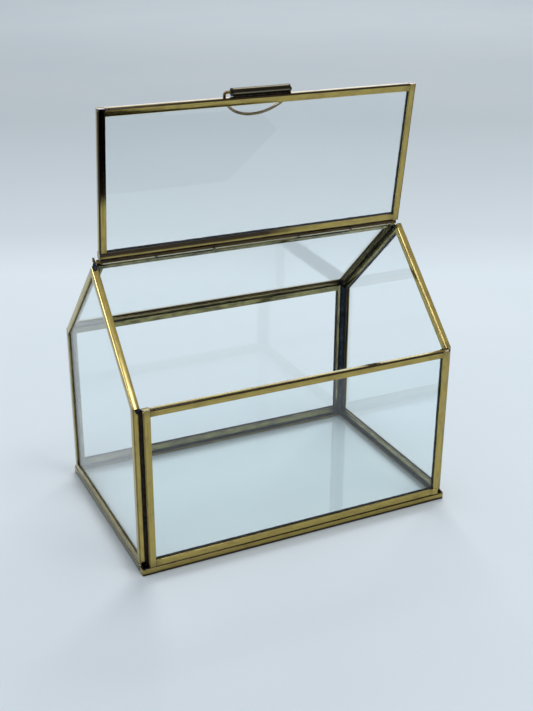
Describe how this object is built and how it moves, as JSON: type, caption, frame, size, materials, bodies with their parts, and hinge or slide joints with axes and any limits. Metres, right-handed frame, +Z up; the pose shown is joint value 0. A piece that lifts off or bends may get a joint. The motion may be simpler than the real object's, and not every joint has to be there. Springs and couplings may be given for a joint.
{
  "type": "wedding card box",
  "caption": "Gabled glass box with brass-edged panes and a ridge-hinged roof lid with a wire bail, for collecting wedding cards.",
  "frame": {"origin": "centre of the underside of the base", "axes": "+X to the right along the ridge, +Y to the back, +Z up; the lid opens from the front slope"},
  "size_m": [0.25, 0.165, 0.3186],
  "materials": {
    "clear_glass": "clear, faint blue-green tint",
    "brass_edging": "antique gold, satin, rounded edges",
    "aged_brass": "darkened, satin",
    "brass_wire": "satin wire",
    "dark_solder": "blue-black patina, semi-gloss"
  },
  "bodies": {
    "box": {"apex_solder": "dark_solder", "back_came_bottom": "brass_edging", "back_came_left": "brass_edging", "back_came_right": "brass_edging", "back_came_top": "brass_edging", "back_glass": "clear_glass", "base_came_back": "brass_edging", "base_came_front": "brass_edging", "base_came_left": "brass_edging", "base_came_right": "brass_edging", "base_glass": "clear_glass", "floor_seam_solder": "dark_solder", "front_came_bottom": "brass_edging", "front_came_left": "brass_edging", "front_came_right": "brass_edging", "front_came_top": "brass_edging", "front_glass": "clear_glass", "hinge_pin": "brass_wire", "inner_corner_solder": "dark_solder", "left_gable_came_back_post": "brass_edging", "left_gable_came_back_rafter": "brass_edging", "left_gable_came_bottom": "brass_edging", "left_gable_came_front_post": "brass_edging", "left_gable_came_front_rafter": "brass_edging", "left_gable_glass": "clear_glass", "outer_corner_solder": "dark_solder", "rear_eave_solder": "dark_solder", "rear_rafter_solder": "dark_solder", "rear_roof_came_eave": "brass_edging", "rear_roof_came_left": "brass_edging", "rear_roof_came_ridge": "brass_edging", "rear_roof_came_right": "brass_edging", "rear_roof_glass": "clear_glass", "ridge_knuckle_left": "aged_brass", "ridge_knuckle_right": "aged_brass", "ridge_knuckle_solder": "dark_solder", "right_gable_came_back_post": "brass_edging", "right_gable_came_back_rafter": "brass_edging", "right_gable_came_bottom": "brass_edging", "right_gable_came_front_post": "brass_edging", "right_gable_came_front_rafter": "brass_edging", "right_gable_glass": "clear_glass"},
    "lid": {"handle_solder": "dark_solder", "handle_tube": "aged_brass", "lid_came_free_edge": "brass_edging", "lid_came_hinge_edge": "brass_edging", "lid_came_left": "brass_edging", "lid_came_right": "brass_edging", "lid_glass": "clear_glass", "lid_knuckle_left": "aged_brass", "lid_knuckle_middle": "aged_brass", "lid_knuckle_right": "aged_brass", "lid_knuckle_solder": "dark_solder"},
    "bail": {"bail": "brass_wire"}
  },
  "joints": [
    {"name": "lid_hinge", "type": "hinge", "parent": "box", "child": "lid", "pos_m": [0, -0.00109, 0.20486], "axis": [1, 0, 0], "range_deg": [-64, 125.4]},
    {"name": "bail_pivot", "type": "hinge", "parent": "lid", "child": "bail", "pos_m": [-0.003, -0.01365, 0.31547], "axis": [1, 0, 0], "range_deg": [0, 188]}
  ]
}
